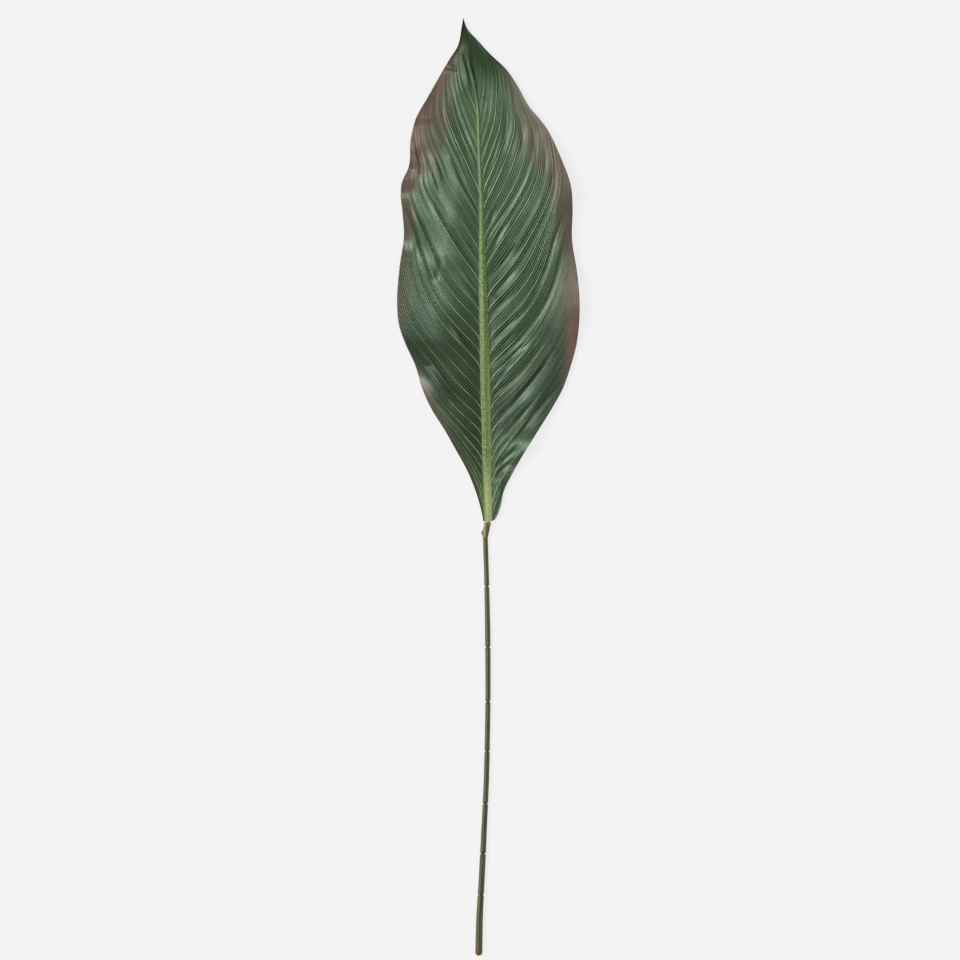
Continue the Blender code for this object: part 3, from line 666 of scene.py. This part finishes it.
class Nodes:
    """Short ways to add nodes to one node tree. Each returns the output socket of the node that it adds."""

    def __init__(self, tree):
        self.tree = tree

    def add(self, kind, inputs=(), out=0, **settings):
        node = self.tree.nodes.new(kind)
        for name, value in settings.items():
            setattr(node, name, value)
        self.set(node, inputs)
        return node.outputs[out]

    def set(self, node, inputs):
        """Links each input that is given a socket, and sets each that is given a value. Returns the outputs."""
        for key, value in dict(inputs).items():
            if isinstance(value, bpy.types.NodeSocket):
                self.tree.links.new(value, node.inputs[key])
            else:
                node.inputs[key].default_value = value
        return node.outputs

    def group(self, tree, inputs):
        """Places a node group and returns its outputs."""
        node = self.tree.nodes.new("ShaderNodeGroup")
        node.node_tree = tree
        return self.set(node, inputs)

    def math(self, operation, a, b=0.0):
        return self.add("ShaderNodeMath", {0: a, 1: b}, operation=operation)

    def times(self, a, b):
        return self.math("MULTIPLY", a, b)

    def plus(self, a, b):
        return self.math("ADD", a, b)

    def over(self, a, b):
        return self.math("DIVIDE", a, b)

    def rest(self, a):
        """1 less the value."""
        return self.math("SUBTRACT", 1.0, a)

    def fade(self, value, low, high, to_low=0.0, to_high=1.0):
        """to_low where value is under low, to_high where it is over high, and a smooth step in between."""
        inputs = {"Value": value, "From Min": low, "From Max": high, "To Min": to_low, "To Max": to_high}
        return self.add("ShaderNodeMapRange", inputs, interpolation_type="SMOOTHSTEP")

    def mix(self, factor, a, b):
        return self.add("ShaderNodeMix", {0: factor, 6: a, 7: b}, out=2, data_type="RGBA")

    def noise(self, vector, scale, detail=2.0, roughness=0.5):
        inputs = {"Vector": vector, "Scale": scale, "Detail": detail, "Roughness": roughness}
        return self.add("ShaderNodeTexNoise", inputs)

    def attribute(self, name):
        return self.add("ShaderNodeAttribute", out="Fac", attribute_name=name)

    def scaled(self, vector, scale):
        return self.add("ShaderNodeMapping", {"Vector": vector, "Scale": scale})

    def place(self):
        """The place on the object, in metres."""
        return self.add("ShaderNodeTexCoord", out="Object")

    def split(self, vector):
        """The vector's X, Y and Z."""
        return self.set(self.tree.nodes.new("ShaderNodeSeparateXYZ"), {0: vector})

    def joined(self, x, y):
        """A vector of X and Y."""
        return self.add("ShaderNodeCombineXYZ", {"X": x, "Y": y})

    def bump(self, height, strength, distance):
        return self.add("ShaderNodeBump", {"Height": height, "Strength": strength, "Distance": distance})


def new_group(name, inputs, outputs):
    """A node group with these sockets, as (name, kind). Returns it, its nodes, its input and its output."""
    tree = bpy.data.node_groups.new(name, "ShaderNodeTree")
    for label, kind in inputs:
        tree.interface.new_socket(label, in_out="INPUT", socket_type=kind)
    for label, kind in outputs:
        tree.interface.new_socket(label, in_out="OUTPUT", socket_type=kind)
    return tree, Nodes(tree), tree.nodes.new("NodeGroupInput"), tree.nodes.new("NodeGroupOutput")


def new_material(name):
    """A material with its nodes and its shader."""
    material = bpy.data.materials.new(name)
    material.use_nodes = True
    return material, Nodes(material.node_tree), material.node_tree.nodes["Principled BSDF"]


def colour(red, green, blue):
    """A colour given as it looks on a screen, 0 to 255, as the shader takes it."""
    part = np.array([red, green, blue]) / 255
    linear = np.where(part <= 0.04045, part / 12.92, ((part + 0.055) / 1.055) ** 2.4)
    return (*linear.tolist(), 1.0)


FLOAT, VECTOR = "NodeSocketFloat", "NodeSocketVector"

# Threads of the weave and spots of the grain, to the metre
THREADS = 900.0
GRAIN = 1300.0


def vein_masks(n, u, v, pitch):
    """Masks of the blade's veins, from the vein number u, the share across v and the pitch in millimetres.

    Main is a thin line on each whole number, wider near the midrib, and its strength changes from vein to vein.
    Fine is a fainter line on each quarter. The groove mask is painted shade: a dark line in the valley beside each
    fine line and each vein.
    """
    vein = n.math("ROUND", u)
    luck = n.add("ShaderNodeTexWhiteNoise", {"W": vein}, noise_dimensions="1D")
    coarse = n.noise(n.joined(n.times(u, 0.9), n.times(v, 5.0)), 1.0)
    broken = n.fade(coarse, 0.36, 0.6, 0.35, 1.0)
    width = n.over(n.fade(v, 0.0, 0.9, 0.72, 0.45), pitch)
    apart = n.math("PINGPONG", u, 0.5)
    line = n.rest(n.fade(n.over(apart, width), 0.25, 0.95))
    strength = n.fade(luck, 0.1, 0.9, 0.4, 1.0)
    strength = n.times(n.times(strength, broken), n.fade(v, 0.45, 1.0, 1.0, 0.15))
    main = n.times(line, strength)
    quarter = n.math("PINGPONG", n.times(u, 4.0), 0.5)
    fine_width = n.over(1.35, pitch)
    fine = n.rest(n.fade(n.over(quarter, fine_width), 0.1, 0.8))
    fine = n.times(fine, n.fade(v, 0.2, 1.0, 0.9, 0.45))
    # Painted shade: dark lines in the valleys just beside each vein and between the fine lines
    near = n.over(apart, width)
    beside = n.times(n.fade(near, 0.9, 1.3), n.fade(near, 1.5, 2.4, 1.0, 0.0))
    groove_shade = n.math("PINGPONG", n.plus(n.times(u, 4.0), 0.5), 0.5)
    groove_shade = n.rest(n.fade(n.over(groove_shade, fine_width), 0.15, 1.0))
    groove_shade = n.math("MAXIMUM", groove_shade, n.times(beside, strength))
    return {"Main": main, "Fine": fine, "Groove_shade": groove_shade}


def vein_lines_group():
    """The vein masks as a node group, for both faces of the blade."""
    outputs = [("Main", FLOAT), ("Fine", FLOAT), ("Groove_shade", FLOAT)]
    tree, n, source, sink = new_group("vein_lines", [("U", FLOAT), ("V", FLOAT), ("Pitch", FLOAT)], outputs)
    n.set(sink, vein_masks(n, source.outputs["U"], source.outputs["V"], source.outputs["Pitch"]))
    return tree


def weave_group():
    """The weave of a coated cloth: two crossing sets of threads Scale to the metre, as a value from 0 to 1."""
    tree, n, source, sink = new_group("weave", [("Vector", VECTOR), ("Scale", FLOAT)], [("Thread", FLOAT)])
    turn = (0, 0, np.radians(38))
    turned = n.add("ShaderNodeMapping", {"Vector": source.outputs["Vector"], "Rotation": turn})
    axes = n.split(turned)
    warp = n.math("PINGPONG", n.times(axes["X"], source.outputs["Scale"]), 0.5)
    weft = n.math("PINGPONG", n.times(axes["Y"], source.outputs["Scale"]), 0.5)
    n.set(sink, {"Thread": n.plus(warp, weft)})
    return tree


def leaf_coordinates(n):
    """The vein number, the share across, the veins' pitch and the place on the object."""
    parts = n.split(n.add("ShaderNodeUVMap", uv_map="veins"))
    return parts["X"], parts["Y"], n.attribute("pitch"), n.place()


def leaf_face_material(veins, weave):
    """Dark green coated cloth with yellow-green veins, a pale mottled midrib and tan and purple margins.

    Its sheen is weaker on the stained margins, on the midrib, near the tip and in the grooves beside the veins,
    where shade is also painted in as dark lines.
    A group may not feed the sheen, so its grooves are worked out by nodes of the material itself.
    """
    material, n, shader = new_material("leaf_face")
    u, v, pitch, place = leaf_coordinates(n)
    y = n.split(place)["Y"]
    lines = n.group(veins, {"U": u, "V": v, "Pitch": pitch})
    thread = n.group(weave, {"Vector": place, "Scale": THREADS})["Thread"]
    grain = n.noise(place, GRAIN, 2.0, 0.7)
    patch = n.noise(place, 22.0, 3.0)
    streak = n.noise(n.joined(n.times(u, 3.0), n.times(v, 2.0)), 1.0)
    upper = n.fade(y, 0.05, 0.32)
    green = n.mix(upper, colour(2, 24, 6), colour(42, 68, 38))
    deep = n.mix(upper, colour(10, 36, 14), colour(34, 60, 32))
    green = n.mix(n.fade(streak, 0.3, 0.7, 0.0, 0.4), green, deep)
    green = n.mix(n.fade(patch, 0.35, 0.7, 0.0, 0.35), green, colour(16, 40, 20))
    green = n.mix(n.fade(y, 0.40, 0.44, 0.0, 0.9), green, colour(14, 32, 12))
    # Painted shade: the base colour is darkened in the grooves, more in the lower part of the blade
    green = n.mix(n.times(lines["Groove_shade"], n.fade(y, 0.36, 0.42, 0.8, 0.2)), green, colour(4, 16, 6))
    tan = n.times(n.attribute("tan"), n.fade(streak, 0.2, 0.6, 0.7, 1.0))
    olive = n.times(n.fade(y, 0.26, 0.23), n.fade(y, 0.12, 0.16))
    straw = n.mix(olive, colour(108, 87, 79), colour(90, 90, 66))
    straw = n.mix(n.fade(patch, 0.35, 0.7, 0.0, 0.6), straw, colour(74, 68, 54))
    purple = n.mix(n.fade(patch, 0.35, 0.65), colour(98, 66, 63), colour(134, 95, 92))
    body = n.mix(tan, green, straw)
    body = n.mix(n.attribute("purple"), body, purple)
    stain = n.math("MAXIMUM", tan, n.attribute("purple"))

    fine = n.times(lines["Fine"], n.fade(y, 0.38, 0.44, 0.8, 0.2))
    body = n.mix(fine, body, colour(100, 132, 86))
    vein = n.times(lines["Main"], n.fade(stain, 0.2, 0.9, 1.0, 0.3))
    vein = n.times(vein, n.fade(y, 0.35, 0.41, 1.0, 0.12))
    body = n.mix(vein, body, colour(160, 188, 104))
    body = n.mix(n.fade(thread, 0.2, 0.9, 0.0, 0.22), body, colour(10, 20, 14))
    body = n.mix(n.fade(grain, 0.35, 0.65, 0.0, 0.06), body, colour(110, 124, 100))
    rib = midrib_colour(n, u, v, y, place)
    fade_out = n.fade(y, 0.37, 0.40, 1.0, 0.0)
    on_rib = n.times(n.fade(v, -0.12, 0.012, 1.0, 0.0), fade_out)
    body = n.mix(on_rib, body, rib)

    sheen = n.times(n.fade(stain, 0.2, 1.0, 0.9, 0.5), n.fade(y, 0.38, 0.44, 1.0, 0.35))
    sheen = n.times(sheen, n.rest(n.times(on_rib, 0.6)))
    sunk = n.times(vein_masks(n, u, v, pitch)["Groove_shade"], n.fade(y, 0.28, 0.38, 0.75, 0.2))
    sunk = n.times(n.times(sunk, n.fade(pitch, 3.0, 8.0, 0.3, 1.0)), n.rest(on_rib))
    sheen = n.times(sheen, n.math("SUBTRACT", n.fade(y, 0.28, 0.38, 1.22, 1.02), sunk))
    height = n.plus(n.times(lines["Main"], 0.5), n.times(lines["Fine"], 0.5))
    height = n.times(height, n.fade(pitch, 2.0, 7.0))
    height = n.plus(height, n.times(thread, 0.03))
    height = n.plus(height, n.times(grain, 0.03))
    n.set(shader, {
        "Base Color": body,
        "Roughness": n.fade(patch, 0.3, 0.7, 0.37, 0.43),
        "Specular IOR Level": sheen,
        "Specular Tint": n.mix(stain, (0.76, 1.0, 0.78, 1), (1.0, 0.92, 0.86, 1)),
        "Normal": n.bump(height, 0.6, 0.0007),
    })
    return material


def midrib_colour(n, u, v, y, place):
    """Mottled olive-green between brighter edges, turning to cream with a green left edge near the foot."""
    mottle = n.noise(n.scaled(place, (800.0, 360.0, 800.0)), 1.0, 3.0, 0.7)
    side = n.math("SUBTRACT", n.times(n.math("GREATER_THAN", u, UV_RIGHT_OFFSET - 5), 2.0), 1.0)
    across = n.times(n.plus(v, 1.0), side)
    rib = n.mix(n.fade(mottle, 0.38, 0.62), colour(80, 99, 51), colour(124, 145, 86))
    rib = n.mix(n.fade(y, 0.25, 0.33, 0.0, 0.5), rib, colour(70, 92, 54))
    edge = n.fade(n.math("ABSOLUTE", across), 0.55, 1.0)
    rib = n.mix(n.times(edge, n.fade(mottle, 0.3, 0.6, 0.25, 0.7)), rib, colour(146, 168, 94))
    bright = n.times(n.fade(across, 0.1, 0.9), n.fade(y, 0.17, 0.10))
    bright = n.times(bright, n.fade(mottle, 0.3, 0.6, 0.45, 0.85))
    rib = n.mix(bright, rib, colour(168, 184, 112))
    low = n.fade(y, 0.035, -0.01)
    cream = n.mix(n.fade(mottle, 0.35, 0.65), colour(158, 168, 114), colour(188, 192, 140))
    cream = n.mix(n.fade(across, 0.0, -0.5), cream, colour(136, 154, 82))
    cream = n.mix(n.fade(across, -0.6, -0.95), cream, colour(70, 96, 52))
    cream = n.mix(n.times(n.fade(across, 0.4, 0.8), n.fade(y, 0.01, -0.02)), cream, colour(204, 212, 152))
    return n.mix(low, rib, cream)


def leaf_back_material(veins, weave):
    """The paler, duller underside, with the same veins pressed into it."""
    material, n, shader = new_material("leaf_back")
    u, v, pitch, place = leaf_coordinates(n)
    lines = n.group(veins, {"U": u, "V": v, "Pitch": pitch})
    thread = n.group(weave, {"Vector": place, "Scale": THREADS})["Thread"]
    patch = n.noise(place, 30.0, 3.0)
    body = n.mix(patch, colour(84, 108, 84), colour(104, 126, 98))
    body = n.mix(n.times(n.attribute("purple"), 0.5), body, colour(112, 96, 88))
    body = n.mix(n.times(lines["Main"], 0.7), body, colour(140, 160, 112))
    body = n.mix(n.fade(thread, 0.2, 0.9, 0.0, 0.2), body, colour(50, 64, 50))
    body = n.mix(n.fade(v, -0.1, 0.004, 1.0, 0.0), body, colour(122, 142, 96))
    height = n.plus(n.times(lines["Main"], 0.5), n.times(thread, 0.08))
    n.set(shader, {
        "Base Color": body,
        "Roughness": n.fade(patch, 0.3, 0.7, 0.55, 0.68),
        "Normal": n.bump(height, 0.6, 0.0006),
    })
    return material


def collar_material():
    """Lumpy brown plastic, orange-brown on the right lug and straw-coloured on the left one."""
    material, n, shader = new_material("collar_lumpy")
    place = n.place()
    axes = n.split(place)
    x, y = axes["X"], axes["Y"]
    patch = n.noise(place, 520.0, 3.0, 0.6)
    body = n.mix(n.fade(patch, 0.35, 0.65), colour(84, 78, 48), colour(112, 100, 66))
    right = n.times(n.fade(x, 0.0002, 0.0016), n.fade(y, -0.0425, -0.0395))
    body = n.mix(right, body, colour(212, 164, 82))
    strip = n.times(n.fade(x, -0.0024, -0.0034), n.fade(y, -0.0420, -0.0400))
    body = n.mix(strip, body, colour(176, 142, 92))
    body = n.mix(n.fade(y, -0.0368, -0.0352, 0.0, 0.7), body, colour(200, 190, 132))
    left = n.times(n.fade(x, -0.0038, -0.0026, 1.0, 0.0), n.fade(y, -0.0405, -0.0430))
    lump = n.mix(n.fade(x, -0.0060, -0.0044), colour(104, 78, 42), colour(172, 154, 102))
    lump = n.mix(n.fade(patch, 0.5, 0.65, 0.0, 0.6), lump, colour(92, 72, 42))
    body = n.mix(left, body, lump)
    n.set(shader, {"Base Color": body, "Roughness": 0.5, "Normal": n.bump(patch, 0.5, 0.0004)})
    return material


def stem_material():
    """Olive plastic with long streaks, browner towards its end, with a greener stretch and an orange-brown tip."""
    material, n, shader = new_material("stem_plastic")
    place = n.place()
    y = n.split(place)["Y"]
    streak = n.noise(n.scaled(place, (900.0, 22.0, 900.0)), 1.0, 3.0, 0.6)
    patch = n.noise(n.scaled(place, (60.0, 60.0, 60.0)), 1.0, 2.0)
    body = n.mix(n.fade(y, -0.33, -0.12), colour(56, 50, 30), colour(82, 77, 44))
    sway = n.fade(n.noise(n.scaled(place, (0.0, 30.0, 0.0)), 1.0), 0.3, 0.7, -0.15, 0.15)
    across = n.plus(n.attribute("across"), sway)
    # Painted highlights: the lighter stripes down both sides of the stem, with a dark band along its top between
    # them
    body = n.mix(n.fade(across, -0.25, -0.75, 0.0, 0.6), body, colour(118, 112, 74))
    dark = n.times(n.fade(across, -0.1, 0.15), n.fade(across, 0.2, 0.45, 1.0, 0.0))
    body = n.mix(n.times(dark, 0.6), body, colour(48, 40, 26))
    light = n.times(n.fade(across, 0.3, 0.55), n.fade(across, 0.65, 0.9, 1.0, 0.0))
    body = n.mix(n.times(light, 0.55), body, colour(132, 126, 78))
    body = n.mix(n.fade(streak, 0.4, 0.7, 0.0, 0.35), body, colour(108, 102, 56))
    body = n.mix(n.fade(streak, 0.25, 0.42, 0.4, 0.0), body, colour(46, 42, 24))
    body = n.mix(n.fade(patch, 0.45, 0.7, 0.0, 0.3), body, colour(84, 92, 52))
    green = n.times(n.fade(y, -0.455, -0.430, 1.0, 0.0), n.fade(y, -0.470, -0.455))
    body = n.mix(n.times(green, 0.5), body, colour(72, 92, 58))
    body = n.mix(n.fade(y, -0.468, -0.455, 0.85, 0.0), body, colour(98, 74, 38))
    n.set(shader, {
        "Base Color": body,
        "Roughness": n.fade(streak, 0.3, 0.7, 0.38, 0.52),
        "Normal": n.bump(streak, 0.35, 0.0004),
    })
    return material


# The camera: a pixel's width on the surface, the image's side in pixels, the camera's height in metres, its
# aim
PIXEL = 1.01463
IMAGE_SIDE = 960
CAMERA_HEIGHT = 3.2
CAMERA_AIM = (-8.5, 7.0)

# The lights, as (name, direction they shine from, width in degrees, strength)
LIGHTS = [
    ("left_light", (-1.0, 0.35, 1.25), 27, 2.9),
    ("right_light", (1.0, -0.3, 0.8), 50, 0.3),
    ("tip_light", (0.1, 1.0, 0.7), 50, 0.3),
    ("foot_light", (0.0, -1.0, 0.7), 50, 0.3),
]
WORLD_GLOW = 0.09

# The floor: half its side in metres, and its glow, which brings it up to the photo's ground
FLOOR_HALF = 12.0
FLOOR_GLOW = 0.80


def make_camera():
    """Looks straight down, with the image's side as wide as the photographed field."""
    data = bpy.data.cameras.new("camera")
    field = PIXEL * IMAGE_SIDE * MM
    data.sensor_width = 36.0
    data.lens = data.sensor_width * CAMERA_HEIGHT / field
    camera = bpy.data.objects.new("camera", data)
    camera.location = (CAMERA_AIM[0] * MM, CAMERA_AIM[1] * MM, CAMERA_HEIGHT)
    bpy.context.collection.objects.link(camera)
    bpy.context.scene.camera = camera


def make_light(name, direction, width, strength):
    """A soft light far away, width degrees wide, that shines from this direction."""
    data = bpy.data.lights.new(name, "SUN")
    data.angle = np.radians(width)
    data.energy = strength
    light = bpy.data.objects.new(name, data)
    light.rotation_euler = Vector(direction).to_track_quat("Z", "Y").to_euler()
    light.location = Vector(direction).normalized() * 4
    bpy.context.collection.objects.link(light)


def make_floor():
    """A pale, faintly shining surface under the leaf, which isn't part of it."""
    mesh = bpy.data.meshes.new("floor")
    corners = [(x * FLOOR_HALF, y * FLOOR_HALF, 0) for x, y in ((-1, -1), (1, -1), (1, 1), (-1, 1))]
    mesh.from_pydata(corners, [], [(0, 1, 2, 3)])
    floor = bpy.data.objects.new("floor", mesh)
    bpy.context.collection.objects.link(floor)
    material, n, shader = new_material("floor_pale")
    n.set(shader, {
        "Base Color": (0.1, 0.1, 0.1, 1),
        "Emission Color": (1, 1, 1, 1),
        "Emission Strength": FLOOR_GLOW,
        "Roughness": 0.9,
        "Specular IOR Level": 0.0,
    })
    mesh.materials.append(material)


vein_lines = vein_lines_group()
weave = weave_group()
blade = make_blade(leaf_face_material(vein_lines, weave), leaf_back_material(vein_lines, weave))
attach(blade, "root")
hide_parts("leaf_blade")
collar = make_collar(collar_material())
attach(collar, "root")
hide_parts("stem_collar")
stem = make_stem(stem_material())
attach(stem, "root")
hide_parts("stem")

make_camera()
for light in LIGHTS:
    make_light(*light)
make_floor()
world = bpy.data.worlds.new("world")
world.use_nodes = True
background = world.node_tree.nodes["Background"]
background.inputs["Color"].default_value = (1, 1, 1, 1)
background.inputs["Strength"].default_value = WORLD_GLOW
bpy.context.scene.world = world
bpy.context.scene.view_settings.view_transform = "Standard"
